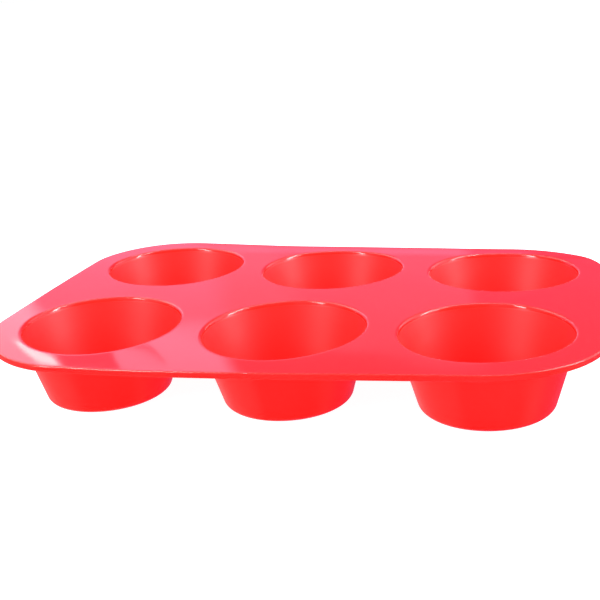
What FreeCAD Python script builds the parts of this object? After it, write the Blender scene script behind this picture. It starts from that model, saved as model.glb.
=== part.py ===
import FreeCAD
import Part

import math
import os

# Six-cup muffin mould in silicone rubber: two rows of three round tapered cups under one flat deck.
# Millimetres. The origin is the centre of the footprint, on the surface that the cups stand on.
# +X runs along a row of cups, +Y from the front row to the back row, +Z up.
# The real thing is one moulding. Its eight regions are kept as eight solids that meet face to face:
# the deck sheet, the thicker bead round its edge, and six cups, each with its own lip.

# Layout of the cups
CUPS_PER_ROW = 3
ROWS = 2
COLUMN_NAMES = ("left", "middle", "right")
ROW_NAMES = ("front", "back")
BRIDGE_X = 13.8  # deck between two neighbouring mouths of a row
BRIDGE_Y = 18.8  # deck between the mouths of the two rows
BORDER_X = 12.4  # from a mouth to the deck's outer edge at its two short ends
BORDER_Y = 13.4  # the same along its two long sides

# One cup
OVERALL_HEIGHT = 32.0  # table to the deck's top face
MOUTH_RADIUS = 35.6  # where the line of the inner wall meets the deck's top face
FLOOR_RADIUS = 26.9  # where the line of the inner wall meets the floor
WALL_THICKNESS = 1.1
FLOOR_THICKNESS = 1.5
INNER_CORNER_RADIUS = 2.6  # inside, between floor and wall
LIP_RADIUS = 1.3  # rounded mouth, where the deck turns down into the wall
FOLD_RADIUS = 0.8  # the same turn seen from below
SEAM_LAND = 1.5  # flat ring of deck outside the lip that belongs to the cup

# Deck and the bead round it
DECK_THICKNESS = 1.8
CORNER_RADIUS = 47.0  # of the deck's outline
BEAD_WIDTH = 4.0
BEAD_DROP = 0.9  # how far the bead hangs below the deck's underside
BEAD_ROUND = 0.6  # rounding of the bead's outer edges
BEAD_ROUND_SHARE = 0.45  # most of the bead's height that one rounding may take

Z_AXIS = FreeCAD.Vector(0, 0, 1)
TOLERANCE = 1e-6


def pitch_x():
    return 2 * MOUTH_RADIUS + BRIDGE_X


def pitch_y():
    return 2 * MOUTH_RADIUS + BRIDGE_Y


def half_length():
    """Half of the deck along X."""
    return (CUPS_PER_ROW - 1) * pitch_x() / 2 + MOUTH_RADIUS + BORDER_X


def half_width():
    """Half of the deck along Y."""
    return (ROWS - 1) * pitch_y() / 2 + MOUTH_RADIUS + BORDER_Y


def draft_angle():
    """Angle of the cup's wall from the vertical."""
    return math.atan2(MOUTH_RADIUS - FLOOR_RADIUS, OVERALL_HEIGHT - FLOOR_THICKNESS)


def outer_wall_radius(height):
    """Radius of the outer wall's line at a height above the table."""
    inner = MOUTH_RADIUS - (OVERALL_HEIGHT - height) * math.tan(draft_angle())
    return inner + WALL_THICKNESS / math.cos(draft_angle())


def seam_radius():
    """Radius at which a cup meets the deck: outside its rounded lip and fold by the seam's land."""
    reach_per_radius = math.tan((math.pi / 2 - draft_angle()) / 2)
    lip_edge = MOUTH_RADIUS + LIP_RADIUS * reach_per_radius
    fold_edge = outer_wall_radius(OVERALL_HEIGHT - DECK_THICKNESS) + FOLD_RADIUS * reach_per_radius
    return max(lip_edge, fold_edge) + SEAM_LAND


def cup_centres():
    """Name and centre of each cup, front row first."""
    centres = {}
    for row in range(ROWS):
        for column in range(CUPS_PER_ROW):
            x = (column - (CUPS_PER_ROW - 1) / 2) * pitch_x()
            y = (row - (ROWS - 1) / 2) * pitch_y()
            name = "cup_" + ROW_NAMES[row] + "_" + COLUMN_NAMES[column]
            centres[name] = FreeCAD.Vector(x, y, 0)
    return centres


def rounded_face(corners):
    """Face in the XZ plane through (x, z, radius) corners in order, each corner rounded by its radius."""
    points = [FreeCAD.Vector(x, 0, z) for x, z, _ in corners]
    edges = []
    tangents = []  # where each corner's rounding starts and ends
    for index, (_, _, radius) in enumerate(corners):
        corner = points[index]
        if radius == 0:
            tangents.append((corner, corner))
            continue
        to_last = (points[index - 1] - corner).normalize()
        to_next = (points[(index + 1) % len(points)] - corner).normalize()
        bisector = (to_last + to_next).normalize()
        half_angle = to_last.getAngle(to_next) / 2
        reach = radius / math.tan(half_angle)
        apex = corner + bisector * (radius / math.sin(half_angle) - radius)
        start = corner + to_last * reach
        end = corner + to_next * reach
        edges.append(Part.Arc(start, apex, end).toShape())
        tangents.append((start, end))
    for index, (_, end) in enumerate(tangents):
        following = tangents[(index + 1) % len(tangents)][0]
        edges.append(Part.LineSegment(end, following).toShape())
    return Part.Face(Part.Wire(Part.__sortEdges__(edges)))


def outline(inset, height):
    """The deck's outline drawn in by inset, as a closed wire at a height: four arcs and four sides."""
    half_x = half_length() - inset
    half_y = half_width() - inset
    radius = CORNER_RADIUS - inset
    arcs = []
    for quarter, (side_x, side_y) in enumerate(((1, 1), (-1, 1), (-1, -1), (1, -1))):
        centre = FreeCAD.Vector(side_x * (half_x - radius), side_y * (half_y - radius), height)
        turns = [(quarter + share) * math.pi / 2 for share in (0, 0.5, 1)]
        arcs.append([centre + FreeCAD.Vector(math.cos(t), math.sin(t), 0) * radius for t in turns])
    edges = []
    for index, arc in enumerate(arcs):
        edges.append(Part.LineSegment(arcs[index - 1][2], arc[0]).toShape())
        edges.append(Part.Arc(*arc).toShape())
    return Part.Wire(edges)


def slab(inset, bottom, top):
    """Flat slab with the deck's outline drawn in by inset."""
    return Part.Face(outline(inset, bottom)).extrude(Z_AXIS * (top - bottom))


def make_cup():
    """One cup about the Z axis: floor, tapered wall, rounded lip and a narrow ring of deck."""
    deck_underside = OVERALL_HEIGHT - DECK_THICKNESS
    profile = rounded_face(
        [
            (0, 0, 0),
            (outer_wall_radius(0), 0, INNER_CORNER_RADIUS + WALL_THICKNESS),
            (outer_wall_radius(deck_underside), deck_underside, FOLD_RADIUS),
            (seam_radius(), deck_underside, 0),
            (seam_radius(), OVERALL_HEIGHT, 0),
            (MOUTH_RADIUS, OVERALL_HEIGHT, LIP_RADIUS),
            (FLOOR_RADIUS, FLOOR_THICKNESS, INNER_CORNER_RADIUS),
            (0, FLOOR_THICKNESS, 0),
        ]
    )
    return profile.revolve(FreeCAD.Vector(0, 0, 0), Z_AXIS, 360)


def make_deck():
    """Flat sheet inside the bead, with a round hole for each cup."""
    underside = OVERALL_HEIGHT - DECK_THICKNESS
    deck = slab(BEAD_WIDTH, underside, OVERALL_HEIGHT)
    for centre in cup_centres().values():
        hole = Part.makeCylinder(seam_radius(), DECK_THICKNESS, centre + Z_AXIS * underside)
        deck = deck.cut(hole)
    return deck


def make_edge_bead():
    """Thicker border of the deck: rounded outer edges, and a chamfer up to the deck's underside."""
    underside = OVERALL_HEIGHT - DECK_THICKNESS - BEAD_DROP
    block = slab(0, underside, OVERALL_HEIGHT)
    level_edges = [edge for edge in block.Edges if edge.BoundBox.ZLength < TOLERANCE]
    rounding = min(BEAD_ROUND, BEAD_ROUND_SHARE * (DECK_THICKNESS + BEAD_DROP))
    block = block.makeFillet(rounding, level_edges)
    bead = block.cut(slab(BEAD_WIDTH, underside, OVERALL_HEIGHT))
    inner_box = Part.Face(outline(BEAD_WIDTH, underside)).BoundBox
    inner_box.enlarge(TOLERANCE)
    inner_low_edges = [edge for edge in bead.Edges if inner_box.isInside(edge.BoundBox)]
    return bead.makeChamfer(BEAD_DROP, inner_low_edges)


def main():
    os.makedirs("parts", exist_ok=True)
    nodes = {"deck": make_deck(), "edge_bead": make_edge_bead()}
    cup = make_cup()
    for name, centre in cup_centres().items():
        nodes[name] = cup.translated(centre)
    for name, shape in nodes.items():
        shape.exportStep("parts/" + name + ".step")
        print(name, "solids", len(shape.Solids), "volume", round(shape.Volume, 1), "valid", shape.isValid())


main()
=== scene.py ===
import math

import bpy
import numpy as np
from mathutils import Matrix, Vector


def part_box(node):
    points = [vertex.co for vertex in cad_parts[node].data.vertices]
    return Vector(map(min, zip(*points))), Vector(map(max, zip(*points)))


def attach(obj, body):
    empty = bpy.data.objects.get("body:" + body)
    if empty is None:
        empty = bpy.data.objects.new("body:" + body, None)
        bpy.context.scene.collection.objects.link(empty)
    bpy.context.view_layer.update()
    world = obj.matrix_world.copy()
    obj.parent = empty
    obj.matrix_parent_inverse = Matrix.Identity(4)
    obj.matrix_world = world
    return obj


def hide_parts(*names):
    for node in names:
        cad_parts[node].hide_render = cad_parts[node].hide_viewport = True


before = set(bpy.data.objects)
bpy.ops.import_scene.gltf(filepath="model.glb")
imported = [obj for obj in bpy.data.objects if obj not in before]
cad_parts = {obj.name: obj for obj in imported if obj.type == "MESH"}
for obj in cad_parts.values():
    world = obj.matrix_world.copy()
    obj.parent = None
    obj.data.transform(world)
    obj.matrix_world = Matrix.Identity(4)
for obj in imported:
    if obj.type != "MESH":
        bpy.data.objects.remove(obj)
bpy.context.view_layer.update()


# What the frame says about the mould: centres of the cups, faces of the deck, width of the bead
cupNodes = sorted(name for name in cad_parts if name.startswith("cup_"))
deckLow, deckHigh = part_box("deck")
beadLow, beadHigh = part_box("edge_bead")
cupBoxes = {name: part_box(name) for name in cupNodes}
cupCentres = {name: ((low.x + high.x) / 2, (low.y + high.y) / 2) for name, (low, high) in cupBoxes.items()}
deckTop = deckHigh.z
deckUnder = deckLow.z
seamRadius = (cupBoxes[cupNodes[0]][1].x - cupBoxes[cupNodes[0]][0].x) / 2
pitchX = max(x for x, y in cupCentres.values())
rowY = max(y for x, y in cupCentres.values())
print("frame: deck top", round(deckTop, 4), "pitch", round(pitchX, 4), "seam radius", round(seamRadius, 5))

# The moulding's own shape, metres
moulding = {
    "mouthRadius": 0.0356,  # inner wall's line at the deck's top face
    "floorRadius": 0.0269,  # the same line at the floor
    "wall": 0.0011,
    "floor": 0.0015,
    "innerCorner": 0.0026,
    "lip": 0.0013,
    "fold": 0.0008,
    "outlineCorner": 0.047,
    "topEdgeRound": 0.0006,
    "lowEdgeRound": 0.0005,
    "turns": 192,  # steps round a cup
    "leastTurn": 0.3,  # an even step is left out within this share of a step from a plot's corner
    "sharp": 60,  # degrees: a fold tighter than this keeps its edge in the shading
}

# How the soft deck rests: millimetres of lift, one term for each product of x and y in their units
sag = {
    "unitX": 0.100,
    "unitY": 0.060,
    "xx": 0.44, "xy": -1.19, "yy": -0.49, "xxx": -0.60, "xxy": -0.39, "xyy": 0.13, "xxxy": 0.36, "xxyy": 0.09,
    "droop": 1.2,  # the back border hangs this many millimetres lower at its edge, except at its left end
    "droopY": (0.070, 0.094),  # the droop sets in over these y
    "droopX": (-0.110, -0.030),  # and over these x
    "ripple": 0.05,  # gentle unevenness of the sheet, millimetres
    "ripplePitch": 0.062,
    "rippleRatio": 0.8,  # the second wave's count against the first's
    "rippleSlant": (0.35, 0.2),
    "ripplePhase": (0.8, 2.1),
}


# Two angles or two lengths that differ by less than this count as the same
same = {
    "angle": 1e-8,
    "length": 1e-7,
    "share": 1e-9,  # a direction faces a side when its share towards it is more than this
    "none": 1e-12,  # and a share smaller than this is never divided by
}


# Smooth step: 0 up to the low end, 1 from the high end, and t * t * (3 - 2 t) between them.
def smoothStep(value, low, high):
    t = np.clip((value - low) / (high - low), 0, 1)
    return t * t * (3 - 2 * t)


# Lift of the sheet: a polynomial in x and y, less the droop of the back border, plus the product of two
# crossed sine waves.
def deckLift(x, y):
    u = x / sag["unitX"]
    v = y / sag["unitY"]
    lift = sag["xx"] * u ** 2 + sag["xy"] * u * v + sag["yy"] * v ** 2 + sag["xxx"] * u ** 3
    lift = lift + sag["xxy"] * u * u * v + sag["xyy"] * u * v * v
    lift = lift + sag["xxxy"] * u ** 3 * v + sag["xxyy"] * u * u * v * v
    lift = lift - sag["droop"] * smoothStep(y, *sag["droopY"]) * smoothStep(x, *sag["droopX"])
    wave = 2 * math.pi / sag["ripplePitch"]
    alongSlant, acrossSlant = sag["rippleSlant"]
    alongPhase, acrossPhase = sag["ripplePhase"]
    along = np.sin(wave * (x + alongSlant * y) + alongPhase)
    across = np.sin(wave * sag["rippleRatio"] * (y - acrossSlant * x) + acrossPhase)
    ripple = along * across
    return 0.001 * (lift + sag["ripple"] * ripple)


# Settle: a point keeps its x and y and rises by the sheet's lift, in full at the deck, fading by a
# smooth step to nothing at the foot, so that the cups stand flat.
def settle(points):
    share = smoothStep(points[:, 2], 0, deckUnder)
    settled = points.copy()
    settled[:, 2] += share * deckLift(points[:, 0], points[:, 1])
    return settled


# Profile: straight runs between corners given as (u, z, radius), each corner replaced by its tangent arc.
# A run is divided evenly so that no step is longer than the given one.
def roundedProfile(corners, step, arcSteps=8, closed=False):
    places = np.array([(u, z) for u, z, radius in corners], float)
    pieces = []
    for index, (u, z, radius) in enumerate(corners):
        corner = places[index]
        atEnd = not closed and index in (0, len(corners) - 1)
        if radius == 0 or atEnd:
            pieces.append(corner[None])
            continue
        back = places[index - 1] - corner
        ahead = places[(index + 1) % len(corners)] - corner
        back = back / np.linalg.norm(back)
        ahead = ahead / np.linalg.norm(ahead)
        half = math.acos(float(np.clip(back @ ahead, -1, 1))) / 2
        middle = (back + ahead) / np.linalg.norm(back + ahead)
        centre = corner + middle * radius / math.sin(half)
        start = corner + back * radius / math.tan(half) - centre
        end = corner + ahead * radius / math.tan(half) - centre
        share = np.linspace(0, 1, arcSteps + 1)[:, None]
        sweep = math.pi - 2 * half
        arc = (np.sin((1 - share) * sweep) * start + np.sin(share * sweep) * end) / math.sin(sweep)
        pieces.append(centre + arc)
    path = [pieces[0]]
    follow = pieces[1:] + ([pieces[0][:1]] if closed else [])
    for piece in follow:
        last = path[-1][-1]
        count = max(1, math.ceil(np.linalg.norm(piece[0] - last) / step))
        share = np.linspace(0, 1, count + 1)[1:-1, None]
        path.append(last + (piece[0] - last) * share)
        path.append(piece)
    path = np.concatenate(path)
    return path[:-1] if closed else path


# Directions round a cup: even steps, and the exact directions of the corners of every cup's plot of deck,
# mirrored into all four quarters so that neighbouring plots share their points.
def cupTurns():
    quarter = np.linspace(0, math.pi / 2, moulding["turns"] // 4 + 1)
    corners = [math.atan2(rowY, pitchX / 2), math.atan2(rowY, deckHigh.x - pitchX)]
    quarter = np.concatenate([quarter, corners])
    quarter = np.unique(np.round(quarter, 9))
    gaps = np.diff(quarter)
    full = math.pi / 2 / (moulding["turns"] // 4)
    isCorner = np.min(np.abs(quarter[:, None] - np.array(corners)[None]), axis=1) < same["angle"]
    isShort = gaps < moulding["leastTurn"] * full
    tooNear = np.concatenate([[False], isShort]) | np.concatenate([isShort, [False]])
    atEnd = (quarter < same["angle"]) | (quarter > math.pi / 2 - same["angle"])
    quarter = quarter[isCorner | atEnd | ~tooNear]
    half = np.concatenate([quarter, math.pi - quarter[::-1][1:]])
    return np.concatenate([half, half[1:-1] + math.pi])


turns = cupTurns()
turnCount = len(turns)
print("moulding:", turnCount, "directions round each cup")


# Distance from a cup's centre to the edge of its plot along each direction: the nearest of the midlines
# to its neighbours and the rounded outline of the sheet. Also says where the outline is what was met.
def plotReach(centre):
    cx, cy = centre
    ux = np.cos(turns)
    uy = np.sin(turns)
    halfX = deckHigh.x
    halfY = deckHigh.y
    radius = moulding["outlineCorner"] - (beadHigh.x - deckHigh.x)
    far = 1e3  # metres, further than any edge
    none = same["none"]
    safeX = np.where(np.abs(ux) < none, none, ux)
    safeY = np.where(np.abs(uy) < none, none, uy)
    sideX = np.where(np.abs(ux) < none, far, (np.sign(safeX) * halfX - cx) / safeX)
    sideY = np.where(np.abs(uy) < none, far, (np.sign(safeY) * halfY - cy) / safeY)
    outer = np.minimum(sideX, sideY)
    hitX = cx + outer * ux
    hitY = cy + outer * uy
    inCorner = (np.abs(hitX) > halfX - radius) & (np.abs(hitY) > halfY - radius)
    kx = cx - np.sign(hitX) * (halfX - radius)
    ky = cy - np.sign(hitY) * (halfY - radius)
    along = ux * kx + uy * ky
    inside = np.maximum(along ** 2 - (kx ** 2 + ky ** 2 - radius ** 2), 0)
    outer = np.where(inCorner, -along + np.sqrt(inside), outer)
    middle = np.full_like(outer, far)
    for side in (-1, 1):
        hasNeighbour = abs(cx + side * pitchX) < pitchX * 1.5
        if hasNeighbour:
            facing = side * ux > same["share"]
            reach = np.where(facing, (side * pitchX / 2) / np.where(facing, ux, 1), far)
            middle = np.minimum(middle, reach)
    facing = -np.sign(cy) * uy > same["share"]
    reach = np.where(facing, (-cy) / np.where(facing, uy, 1), far)
    middle = np.minimum(middle, reach)
    return np.minimum(outer, middle), outer <= middle + same["length"]


# Faces of a grid that closes on itself along its rows: the four neighbours (i, j), (i, j + 1),
# (i + 1, j + 1), (i + 1, j) of every cell.
def gridFaces(rows, columns):
    i, j = np.meshgrid(np.arange(rows - 1), np.arange(columns), indexing="ij")
    nextJ = (j + 1) % columns
    row = i * columns
    nextRow = row + columns
    return np.stack([row + j, row + nextJ, nextRow + nextJ, nextRow + j], -1).reshape(-1, 4)


# Makes the object from points, quads, triangles and attributes given per point. Points are equal when they
# round to the same hundredth of a micrometre, and the first of the equal ones stands for all.
def makePiece(name, points, quads, attributes, triangles=None):
    keys = np.round(points * 1e8).astype(np.int64)
    first, inverse = np.unique(keys, axis=0, return_index=True, return_inverse=True)[1:]
    inverse = inverse.reshape(-1)
    quads = inverse[quads]
    loops = [quads.reshape(-1)]
    sizes = [np.full(len(quads), 4)]
    if triangles is not None:
        loops.append(inverse[triangles].reshape(-1))
        sizes.append(np.full(len(triangles), 3))
    loops = np.concatenate(loops).astype(np.int32)
    sizes = np.concatenate(sizes).astype(np.int32)
    starts = np.concatenate([[0], np.cumsum(sizes)[:-1]]).astype(np.int32)
    mesh = bpy.data.meshes.new(name)
    mesh.vertices.add(len(first))
    mesh.vertices.foreach_set("co", points[first].astype(np.float32).reshape(-1))
    mesh.loops.add(len(loops))
    mesh.loops.foreach_set("vertex_index", loops)
    mesh.polygons.add(len(sizes))
    mesh.polygons.foreach_set("loop_start", starts)
    mesh.update(calc_edges=True)
    mesh.validate()
    mesh.polygons.foreach_set("use_smooth", np.ones(len(mesh.polygons), bool))
    for key, values in attributes.items():
        layer = mesh.attributes.new(key, "FLOAT", "POINT")
        layer.data.foreach_set("value", np.asarray(values, np.float32)[first])
    mesh.set_sharp_from_angle(angle=math.radians(moulding["sharp"]))
    piece = bpy.data.objects.new(name, mesh)
    bpy.context.scene.collection.objects.link(piece)
    return piece


cupLook = {
    "step": 0.0014,  # longest step along the profile
    "lipSteps": 12,
    "insidePolish": 0.25,  # the inner wall is satin next to the glossy lip, and its colour takes half the painted shade
    "polishDepth": (0.002, 0.0007),  # the polish rises from the wall's to the lip's over these depths
    "satinDepth": (0.0022, 0.0010),  # and the satin ends over these
    "softFade": 0.004,  # the glow inside the rubber fades out this near to the seam with the deck
}


# Half profile of a cup from the middle of its floor, up the inner wall, over the lip to the seam, and back
# under the deck, down the outer wall to the middle of the underside: two runs, inside and outside. A wall's
# radius falls in a straight line with its depth below the deck's top.
def cupProfiles():
    slope = (moulding["mouthRadius"] - moulding["floorRadius"]) / (deckTop - moulding["floor"])
    draft = math.atan(slope)

    # The outer wall's radius at a height: the inner wall's line there plus the wall measured level
    def outerRadius(height):
        return moulding["mouthRadius"] - (deckTop - height) * slope + moulding["wall"] / math.cos(draft)

    inner = roundedProfile([
        (0.0, moulding["floor"], 0),
        (moulding["floorRadius"], moulding["floor"], moulding["innerCorner"]),
        (moulding["mouthRadius"], deckTop, moulding["lip"]),
        (seamRadius, deckTop, 0),
    ], cupLook["step"], cupLook["lipSteps"])
    outer = roundedProfile([
        (seamRadius, deckUnder, 0),
        (outerRadius(deckUnder), deckUnder, moulding["fold"]),
        (outerRadius(0), 0.0, moulding["innerCorner"] + moulding["wall"]),
        (0.0, 0.0, 0),
    ], cupLook["step"], cupLook["lipSteps"])
    return inner, outer


# Cup surface: the profile turned about the cup's axis, x = cx + r cos(turn), y = cy + r sin(turn), with one
# point at each pole. Rows run from the floor's middle outwards and over, so that faces look outwards.
def makeCup(name):
    cx, cy = cupCentres[name]
    inner, outer = cupProfiles()
    rings = np.concatenate([inner[1:], outer[:-1]])
    r = rings[:, 0][:, None]
    z = np.broadcast_to(rings[:, 1][:, None], (len(rings), turnCount))
    x = cx + r * np.cos(turns)[None]
    y = cy + r * np.sin(turns)[None]
    points = np.stack([x, y, z], -1).reshape(-1, 3)
    top = np.array([[cx, cy, inner[0][1]]])
    bottom = np.array([[cx, cy, outer[-1][1]]])
    allPoints = np.concatenate([points, top, bottom])
    quads = gridFaces(len(rings), turnCount)[:, ::-1]
    j = np.arange(turnCount)
    nextJ = (j + 1) % turnCount
    lastRow = (len(rings) - 1) * turnCount
    topFan = np.stack([np.full(turnCount, len(points)), j, nextJ], -1)
    lowFan = np.stack([lastRow + j, np.full(turnCount, len(points) + 1), lastRow + nextJ], -1)
    # The polish mask also sets the painted shade in the colour: none on the lip and the deck, half on the
    # inner wall, full on the outer wall and the underside.
    low, high = cupLook["polishDepth"]
    inWall = smoothStep(inner[1:, 1], deckTop - low, deckTop - high)
    inWall = cupLook["insidePolish"] + (1 - cupLook["insidePolish"]) * inWall
    ringPolish = np.concatenate([inWall, np.zeros(len(outer) - 1)])
    polishAndShade = np.concatenate([np.repeat(ringPolish, turnCount), [cupLook["insidePolish"], 0.0]])
    low, high = cupLook["satinDepth"]
    inSatin = 1 - smoothStep(inner[1:, 1], deckTop - low, deckTop - high)
    ringSatin = np.concatenate([inSatin, np.zeros(len(outer) - 1)])
    satin = np.concatenate([np.repeat(ringSatin, turnCount), [1.0, 0.0]])
    fade = np.clip((seamRadius - rings[:, 0]) / cupLook["softFade"], 0, 1)
    deep = np.concatenate([np.repeat(fade, turnCount), [1.0, 1.0]])
    return makePiece(
        "moulded_" + name, settle(allPoints), quads, {"polishAndShade": polishAndShade, "satin": satin, "depth": deep},
        np.concatenate([topFan, lowFan]))


deckLook = {
    "rings": 12,  # steps from a cup's seam to the edge of its plot
}


# Deck: over each cup's plot, a point is centre + reach * direction, with reach running evenly from the seam
# to the plot's edge. The top and bottom faces share these points, and the rims of the holes and of the sheet
# are closed by upright bands.
def makeDeck():
    share = np.linspace(0, 1, deckLook["rings"] + 1)[:, None]
    allPoints = []
    allQuads = []
    polishAndShade = []
    deep = []
    offset = 0
    for name in cupNodes:
        cx, cy = cupCentres[name]
        reach, atOutline = plotReach((cx, cy))
        radius = seamRadius + (reach[None] - seamRadius) * share
        x = cx + radius * np.cos(turns)[None]
        y = cy + radius * np.sin(turns)[None]
        rows = len(share)
        flat = rows * turnCount
        for height in (deckTop, deckUnder):
            allPoints.append(np.stack([x, y, np.full_like(x, height)], -1).reshape(-1, 3))
        quads = gridFaces(rows, turnCount)
        allQuads.append(quads[:, ::-1] + offset)
        allQuads.append(quads + offset + flat)
        j = np.arange(turnCount)
        nextJ = (j + 1) % turnCount
        hole = np.stack([j, nextJ, nextJ + flat, j + flat], -1)
        allQuads.append(hole + offset)
        edge = (rows - 1) * turnCount
        onRim = atOutline & atOutline[nextJ]
        rim = np.stack([j + edge, j + edge + flat, nextJ + edge + flat, nextJ + edge], -1)[onRim]
        allQuads.append(rim + offset)
        toSeam = radius - seamRadius
        toOutline = np.where(atOutline[None], reach[None] - radius, 1.0)
        near = np.clip(np.minimum(toSeam, toOutline) / cupLook["softFade"], 0, 1).reshape(-1)
        deep += [near, near]
        # Polish also sets the painted shade: none on the top face, full on the underside.
        polishAndShade += [np.ones(flat), np.zeros(flat)]
        offset += 2 * flat
    return makePiece(
        "moulded_deck", settle(np.concatenate(allPoints)), np.concatenate(allQuads),
        {"polishAndShade": np.concatenate(polishAndShade), "satin": np.zeros(offset), "depth": np.concatenate(deep)})


beadLook = {
    "step": 0.0008,  # longest step along the profile
    "arcSteps": 8,  # steps round each of its corners
    "innerRound": 0.0004,  # where the bead's underside turns up to the deck's
    "softFade": 1.2,  # the glow inside the rubber is full at the bead's width divided by this
}


# Bead: the deck's rim points in order round the sheet, each with the outward normal of the rounded outline,
# and a closed profile of (outward, height) carried along them: point = rim + outward * normal.
def makeBead():
    rim = []
    for name in cupNodes:
        reach, atOutline = plotReach(cupCentres[name])
        cx, cy = cupCentres[name]
        rim.append(np.stack([cx + reach * np.cos(turns), cy + reach * np.sin(turns)], -1)[atOutline])
    rim = np.concatenate(rim)
    keys = np.round(rim * 1e8).astype(np.int64)
    rim = rim[np.unique(keys, axis=0, return_index=True)[1]]
    radius = moulding["outlineCorner"] - (beadHigh.x - deckHigh.x)
    kernel = np.stack([
        np.clip(rim[:, 0], -(deckHigh.x - radius), deckHigh.x - radius),
        np.clip(rim[:, 1], -(deckHigh.y - radius), deckHigh.y - radius)], -1)
    around = np.arctan2(rim[:, 1] / deckHigh.y, rim[:, 0] / deckHigh.x)
    order = np.argsort(around)
    rim = rim[order]
    kernel = kernel[order]
    onSideX = np.abs(np.abs(rim[:, 0]) - deckHigh.x) < same["length"]
    onSideY = np.abs(np.abs(rim[:, 1]) - deckHigh.y) < same["length"]
    flatX = np.stack([np.sign(rim[:, 0]), 0 * rim[:, 0]], -1)
    flatY = np.stack([0 * rim[:, 0], np.sign(rim[:, 1])], -1)
    normal = rim - kernel
    normal = np.where((onSideX & ~onSideY)[:, None], flatX, normal)
    normal = np.where((onSideY & ~onSideX)[:, None], flatY, normal)
    normal = normal / np.linalg.norm(normal, axis=1)[:, None]
    width = beadHigh.x - deckHigh.x
    drop = deckUnder - beadLow.z
    profile = roundedProfile([
        (0.0, deckTop, 0),
        (width, deckTop, moulding["topEdgeRound"]),
        (width, beadLow.z, moulding["lowEdgeRound"]),
        (drop, beadLow.z, beadLook["innerRound"]),
        (0.0, deckUnder, 0),
    ], beadLook["step"], beadLook["arcSteps"], closed=True)
    out = profile[:, 0][:, None]
    x = rim[:, 0][None] + out * normal[:, 0][None]
    y = rim[:, 1][None] + out * normal[:, 1][None]
    z = np.broadcast_to(profile[:, 1][:, None], x.shape)
    points = np.stack([x, y, z], -1).reshape(-1, 3)
    rows, columns = x.shape
    quads = gridFaces(rows, columns)
    j = np.arange(columns)
    nextJ = (j + 1) % columns
    closing = np.stack([(rows - 1) * columns + j, (rows - 1) * columns + nextJ, nextJ, j], -1)
    quads = np.concatenate([quads, closing])[:, ::-1]
    # Polish also sets the painted shade: none on the top rounding, full on the bead's side and underside.
    polishAndShade = np.repeat(smoothStep(profile[:, 1], deckTop - moulding["topEdgeRound"], deckTop), columns)
    deep = np.repeat(np.clip(profile[:, 0] / width * beadLook["softFade"], 0, 1), columns)
    return makePiece(
        "moulded_edge_bead", settle(points), quads,
        {"polishAndShade": polishAndShade, "satin": np.zeros(len(points)), "depth": deep})


rubberLook = {
    "red": (0.92, 0.0110, 0.0070, 1),  # the rubber's red, on the upper side and inside
    "redPaintedShade": (0.92, 0.0030, 0.0024, 1),  # painted shade: a darker red for the underside, the outer walls and the bead's side
    "fromPaintedShade": (0.15, 0.85),  # share of the first in the second, on the underside and where it is glossy, so the painted shade is strongest on the underside
    "leastShadeFrom": 0.5,  # polish from which the colour is all that of the upper side, with the least painted shade
    "drift": 0.4,  # how far the pigment drifts between the two
    "cloud": (26, 3, 0.5),  # a noise's repeats in a metre, octaves of detail and how strong each is
    "speck": (900, 2, 0.5),  # pigment grains
    "speckShare": 0.2,
    "glossy": 0.05,  # roughness of the polished upper side
    "matt": 0.25,  # roughness of the underside
    "satin": 0.30,  # the inner walls of the cups are rougher by this much
    "smear": (70, 4, 0.6),  # handling marks, duller or glossier by the next value
    "smearDepth": 0.015,
    "swell": (45, 2, 0.5),  # the soft unevenness of a moulded skin
    "swellHeight": 0.00002,
    "grain": (2600, 3, 0.5),  # fine spark texture of the tool
    "grainHeight": (0.00003, 0.0000002),  # on the underside, and from the polish below up
    "grainUpTo": 0.25,
    "index": 1.41,
    "glow": 0.22,  # how much light wanders inside the rubber before it comes back
    "glowReach": 0.0016,
    "glowColours": (1.0, 0.16, 0.12),  # red light reaches furthest
}


# One step of maths in a shader: operation(first, second), where a plain number is set on the socket itself.
def addMaths(tree, operation, first, second=None):
    node = tree.nodes.new("ShaderNodeMath")
    node.operation = operation
    for socket, value in zip(node.inputs, (first, second)):
        if isinstance(value, (int, float)):
            socket.default_value = value
        elif value is not None:
            tree.links.new(value, socket)
    return node.outputs["Value"]
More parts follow.
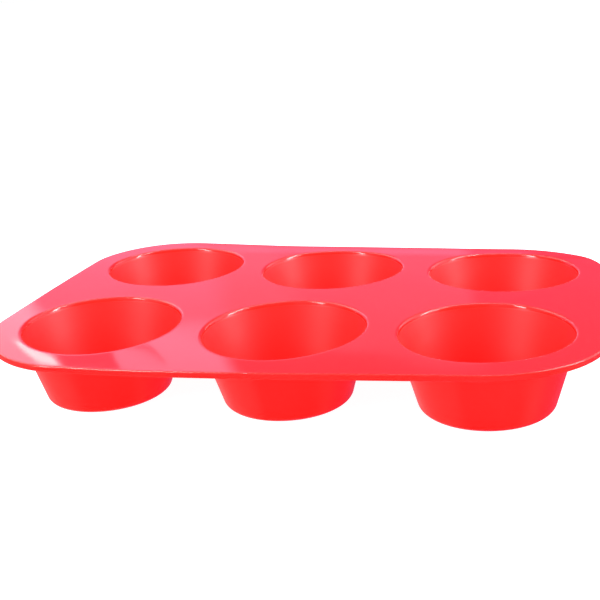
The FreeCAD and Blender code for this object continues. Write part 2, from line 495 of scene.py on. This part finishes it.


# Rubber: colour = painted shade red + (red - painted shade red) * (mapped polish + drift), roughness = mapped
# polish + satin
# + smears, and height = swell + grain * mapped polish. The painted shade red darkens the underside, the outer
#   walls and the bead's side.
def makeRubber():
    material = bpy.data.materials.new("red_silicone")
    material.use_nodes = True
    nodes = material.node_tree.nodes
    links = material.node_tree.links
    shader = nodes["Principled BSDF"]
    shader.inputs["IOR"].default_value = rubberLook["index"]
    shader.inputs["Subsurface Radius"].default_value = rubberLook["glowColours"]
    shader.inputs["Subsurface Scale"].default_value = rubberLook["glowReach"]

    # A new node with its settings
    def add(kind, **settings):
        node = nodes.new(kind)
        for key, value in settings.items():
            setattr(node, key, value)
        return node

    # Runs evenly from low, where the source is 0, to high, where it is full
    def mapTo(source, low, high, full=1.0):
        node = add("ShaderNodeMapRange")
        node.inputs["From Max"].default_value = full
        node.inputs["To Min"].default_value = low
        node.inputs["To Max"].default_value = high
        links.new(source, node.inputs["Value"])
        return node.outputs["Result"]

    # The same step of maths among the rubber's nodes
    def maths(*terms):
        return addMaths(material.node_tree, *terms)

    where = add("ShaderNodeTexCoord").outputs["Object"]

    # Smooth noise around 0.5 at a point of the piece
    def noise(scale, detail, roughness):
        node = add("ShaderNodeTexNoise")
        node.inputs["Scale"].default_value = scale
        node.inputs["Detail"].default_value = detail
        node.inputs["Roughness"].default_value = roughness
        links.new(where, node.inputs["Vector"])
        return node.outputs["Fac"]

    polishAndShade = add("ShaderNodeAttribute", attribute_name="polishAndShade").outputs["Fac"]
    depth = add("ShaderNodeAttribute", attribute_name="depth").outputs["Fac"]
    satin = add("ShaderNodeAttribute", attribute_name="satin").outputs["Fac"]
    cloud = maths("MULTIPLY", noise(*rubberLook["cloud"]), 1 - rubberLook["speckShare"])
    speck = maths("MULTIPLY", noise(*rubberLook["speck"]), rubberLook["speckShare"])
    drift = maths("ADD", cloud, speck)
    drift = maths("MULTIPLY", maths("SUBTRACT", drift, 0.5), rubberLook["drift"])
    # Painted shade: the colour goes towards the shaded red where the polish mask is low. It is full on the
    # underside, the outer walls and the bead's side, and half on the inner walls. The drift is the rubber's
    # own uneven tone.
    mix = add("ShaderNodeMix", data_type="RGBA")
    mix.inputs["A"].default_value = rubberLook["redPaintedShade"]
    mix.inputs["B"].default_value = rubberLook["red"]
    share = mapTo(polishAndShade, *rubberLook["fromPaintedShade"], rubberLook["leastShadeFrom"])
    links.new(maths("ADD", share, drift), mix.inputs["Factor"])
    links.new(mix.outputs["Result"], shader.inputs["Base Color"])

    smear = noise(*rubberLook["smear"])
    dull = mapTo(smear, -rubberLook["smearDepth"], rubberLook["smearDepth"])
    shine = mapTo(polishAndShade, rubberLook["matt"], rubberLook["glossy"])
    shine = maths("ADD", shine, maths("MULTIPLY", satin, rubberLook["satin"]))
    links.new(maths("ADD", shine, dull), shader.inputs["Roughness"])
    links.new(maths("MULTIPLY", depth, rubberLook["glow"]), shader.inputs["Subsurface Weight"])

    swell = maths("MULTIPLY", noise(*rubberLook["swell"]), rubberLook["swellHeight"])
    grainHeight = mapTo(polishAndShade, *rubberLook["grainHeight"], rubberLook["grainUpTo"])
    grain = maths("MULTIPLY", noise(*rubberLook["grain"]), grainHeight)
    height = maths("ADD", swell, grain)
    bump = add("ShaderNodeBump")
    bump.inputs["Distance"].default_value = 1.0
    bump.inputs["Strength"].default_value = 1.0
    links.new(height, bump.inputs["Height"])
    links.new(bump.outputs["Normal"], shader.inputs["Normal"])
    return material


rubber = makeRubber()
pieces = [(makeDeck(), "deck"), (makeBead(), "edge_bead")]
pieces += [(makeCup(name), name) for name in cupNodes]
for piece, node in pieces:
    piece.data.materials.append(rubber)
    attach(piece, "root")
    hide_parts(node)
print("pieces:", {piece.name: len(piece.data.polygons) for piece, node in pieces})

floorLook = {
    "half": 40.0,
    "colour": (0.35, 0.35, 0.35, 1),
    "roughness": 1.0,
    "glow": 0.97,  # the table top is a sheet of opal glass, faintly lit from below
}


# Floor: one large flat square at z = 0, matt white, with a faint even glow.
def makeFloor():
    half = floorLook["half"]
    mesh = bpy.data.meshes.new("studio_floor")
    corners = [(-half, -half, 0), (half, -half, 0), (half, half, 0), (-half, half, 0)]
    mesh.from_pydata(corners, [], [(0, 1, 2, 3)])
    floor = bpy.data.objects.new("studio_floor", mesh)
    bpy.context.scene.collection.objects.link(floor)
    material = bpy.data.materials.new("opal_glass")
    material.use_nodes = True
    shader = material.node_tree.nodes["Principled BSDF"]
    shader.inputs["Base Color"].default_value = floorLook["colour"]
    shader.inputs["Roughness"].default_value = floorLook["roughness"]
    shader.inputs["Specular IOR Level"].default_value = 0.0
    shader.inputs["Emission Color"].default_value = (1, 1, 1, 1)
    shader.inputs["Emission Strength"].default_value = floorLook["glow"]
    mesh.materials.append(material)
    floor.visible_glossy = False  # the bright table top stays out of the gloss under the cups


makeFloor()

# Directions are given as azimuth from +Y towards +X and elevation, both in degrees, from the deck's middle.
lampLook = {
    "left_softbox": {
        "azimuth": -137, "elevation": 37, "distance": 1.1, "width": 0.22, "height": 0.80, "watts": 15.0},
    "right_softbox": {
        "azimuth": 84, "elevation": 37, "distance": 1.2, "width": 0.15, "height": 1.20, "watts": 22.0},
    "colour": (1.0, 0.93, 1.0),
}

# The room as the gloss sees it: a pale ceiling, dim walls and cards round the table, each from one azimuth
# and elevation to another with an edge that is soft over some degrees, laid over the ones before.
skyLook = {
    "ceiling": (0.74, 0.70, 0.78),
    "walls": (0.36, 0.35, 0.38),
    "ceilingFrom": 28,  # the walls end and the ceiling begins over these elevations
    "ceilingFull": 48,
    "cards": [
        # Behind the table: dim screens, then paler ones step by step towards the left
        {"azimuth": (-60, 75), "elevation": (-91, 30), "edge": 1.2, "colour": (0.24, 0.18, 0.40)},
        {"azimuth": (-2.5, 75), "elevation": (-91, 12), "edge": 1.2, "colour": (0.18, 0.12, 0.26)},
        {"azimuth": (-60, -6), "elevation": (-91, 21.2), "edge": 1.2, "colour": (0.42, 0.36, 0.65)},
        {"azimuth": (-70, -17), "elevation": (-91, 21.2), "edge": 2.5, "colour": (0.55, 0.46, 0.78)},
        {"azimuth": (-75, -21), "elevation": (-91, 21.2), "edge": 2.0, "colour": (0.74, 0.60, 1.04)},
        {"azimuth": (-75, -21), "elevation": (-91, -4), "edge": 3, "colour": (0.50, 0.46, 0.48)},
        {"azimuth": (-75, -22), "elevation": (21.0, 28), "edge": 1.4, "colour": (1.40, 1.22, 1.95)},
        {"azimuth": (-80, -30.7), "elevation": (17, 28), "edge": 1.0, "colour": (2.10, 1.90, 2.60)},
        # The bright panel that the front left corner mirrors, and thin slats before it
        {"azimuth": (-95, -38), "elevation": (28, 60), "edge": 2.0, "colour": (3.60, 3.40, 3.70)},
        {"azimuth": (-30.8, -28.2), "elevation": (22.9, 24.9), "edge": 0.2, "colour": (0.30, 0.24, 0.55)},
        {"azimuth": (-28.6, -25.9), "elevation": (22.7, 23.2), "edge": 0.2, "colour": (0.30, 0.24, 0.55)},
        {"azimuth": (-32.0, -31.0), "elevation": (23.7, 24.3), "edge": 0.2, "colour": (7.0, 6.8, 7.0)},
        # A pale strip at the table's far edge, and a light overhead, for the lips and the edge of the sheet
        {"azimuth": (-75, 75), "elevation": (-16, 1), "edge": 2.0, "colour": (2.60, 2.30, 2.70)},
        {"azimuth": (-35, 60), "elevation": (48, 82), "edge": 6, "colour": (3.60, 3.30, 4.00)},
        # The walls at the right, in front and at the left
        {"azimuth": (25, 110), "elevation": (3, 45), "edge": 6, "colour": (2.10, 1.95, 2.40)},
        {"azimuth": (110, 181), "elevation": (3, 45), "edge": 6, "colour": (0.60, 0.50, 0.42)},
        {"azimuth": (-181, -105), "elevation": (3, 45), "edge": 6, "colour": (1.00, 0.90, 0.98)},
        # Dark below the table's front edge, less so at the left
        {"azimuth": (100, 181), "elevation": (-91, 2), "edge": 4, "colour": (0.06, 0.05, 0.06)},
        {"azimuth": (-181, -80), "elevation": (-91, 2), "edge": 4, "colour": (0.06, 0.05, 0.06)},
        {"azimuth": (-135, -75), "elevation": (-60, -6), "edge": 10, "colour": (0.55, 0.46, 0.46)},
    ],
}


# Direction: x = sin(azimuth) cos(elevation), y = cos(azimuth) cos(elevation), z = sin(elevation).
def direction(azimuth, elevation):
    a = math.radians(azimuth)
    e = math.radians(elevation)
    return Vector((math.sin(a) * math.cos(e), math.cos(a) * math.cos(e), math.sin(e)))


# Lamps: each softbox stands at the deck's middle + distance * direction and faces back along it.
def makeLamps():
    middle = Vector((0, 0, deckTop))
    for name in ("left_softbox", "right_softbox"):
        look = lampLook[name]
        light = bpy.data.lights.new(name, "AREA")
        light.shape = "RECTANGLE"
        light.size = look["width"]
        light.size_y = look["height"]
        light.energy = look["watts"]
        light.color = lampLook["colour"]
        lamp = bpy.data.objects.new(name, light)
        towards = direction(look["azimuth"], look["elevation"])
        lamp.location = middle + towards * look["distance"]
        lamp.rotation_euler = towards.to_track_quat("Z", "Y").to_euler()
        lamp.visible_camera = False
        bpy.context.scene.collection.objects.link(lamp)


# Sky: azimuth = atan2(x, y) and elevation = asin(z) of the direction looked in. A card's mask is the product
# of a smooth step up at its low limit and one down at its high limit, in both angles. The camera itself
# sees white.
def makeSky():
    world = bpy.data.worlds.new("studio")
    world.use_nodes = True
    nodes = world.node_tree.nodes
    links = world.node_tree.links

    # The same step of maths among the sky's nodes
    def maths(*terms):
        return addMaths(world.node_tree, *terms)

    # 0 below the low angle, 1 above the high one and smooth between them
    def stepUp(angle, low, high):
        node = nodes.new("ShaderNodeMapRange")
        node.interpolation_type = "SMOOTHSTEP"
        node.inputs["From Min"].default_value = low
        node.inputs["From Max"].default_value = high
        links.new(angle, node.inputs["Value"])
        return node.outputs["Result"]

    # A step up at the first limit times what a step up at the second one leaves of 1
    def within(angle, limits, edge):
        rise = stepUp(angle, limits[0] - edge / 2, limits[0] + edge / 2)
        fall = stepUp(angle, limits[1] - edge / 2, limits[1] + edge / 2)
        return maths("MULTIPLY", rise, maths("SUBTRACT", 1.0, fall))

    # What is under, times 1 - mask, plus the colour times the mask
    def layOver(under, colour, mask):
        node = nodes.new("ShaderNodeMix")
        node.data_type = "RGBA"
        links.new(mask, node.inputs["Factor"])
        if isinstance(under, tuple):
            node.inputs["A"].default_value = under + (1,)
        else:
            links.new(under, node.inputs["A"])
        node.inputs["B"].default_value = colour + (1,)
        return node.outputs["Result"]

    split = nodes.new("ShaderNodeSeparateXYZ")
    links.new(nodes.new("ShaderNodeTexCoord").outputs["Generated"], split.inputs["Vector"])
    azimuth = maths("DEGREES", maths("ARCTAN2", split.outputs["X"], split.outputs["Y"]))
    elevation = maths("DEGREES", maths("ARCSINE", split.outputs["Z"]))
    sky = layOver(skyLook["walls"], skyLook["ceiling"],
                  stepUp(elevation, skyLook["ceilingFrom"], skyLook["ceilingFull"]))
    for card in skyLook["cards"]:
        mask = maths("MULTIPLY", within(azimuth, card["azimuth"], card["edge"]),
                     within(elevation, card["elevation"], card["edge"]))
        sky = layOver(sky, card["colour"], mask)
    sky = layOver(sky, (1.0, 1.0, 1.0), nodes.new("ShaderNodeLightPath").outputs["Is Camera Ray"])
    links.new(sky, nodes["Background"].inputs["Color"])
    bpy.context.scene.world = world


makeLamps()
makeSky()
bpy.context.scene.view_settings.view_transform = "Standard"

viewLook = {
    "place": (0.12268, -0.43159, 0.17303),
    "heading": -16.50,  # degrees from +Y towards +X
    "dip": 17.71,
    "tilt": -4.33,
    "lens": 60.41,  # millimetres, on the sensor's width below
    "sensor": 36,
    "nearest": 0.01,
}


# Camera: looks along its heading and dip, and its level right and up are turned by the tilt about that line.
def makeCamera():
    heading = math.radians(viewLook["heading"])
    dip = math.radians(viewLook["dip"])
    tilt = math.radians(viewLook["tilt"])
    forward = Vector((math.sin(heading) * math.cos(dip), math.cos(heading) * math.cos(dip), -math.sin(dip)))
    levelRight = Vector((math.cos(heading), -math.sin(heading), 0))
    levelUp = levelRight.cross(forward)
    right = levelRight * math.cos(tilt) + levelUp * math.sin(tilt)
    up = levelUp * math.cos(tilt) - levelRight * math.sin(tilt)
    camera = bpy.data.objects.new("camera", bpy.data.cameras.new("camera"))
    camera.data.lens = viewLook["lens"]
    camera.data.sensor_width = viewLook["sensor"]
    camera.data.clip_start = viewLook["nearest"]
    turned = Matrix((right, up, -forward)).transposed().to_4x4()
    camera.matrix_world = Matrix.Translation(viewLook["place"]) @ turned
    bpy.context.scene.collection.objects.link(camera)
    bpy.context.scene.camera = camera


makeCamera()
print("stage: floor, lamps, sky and camera")
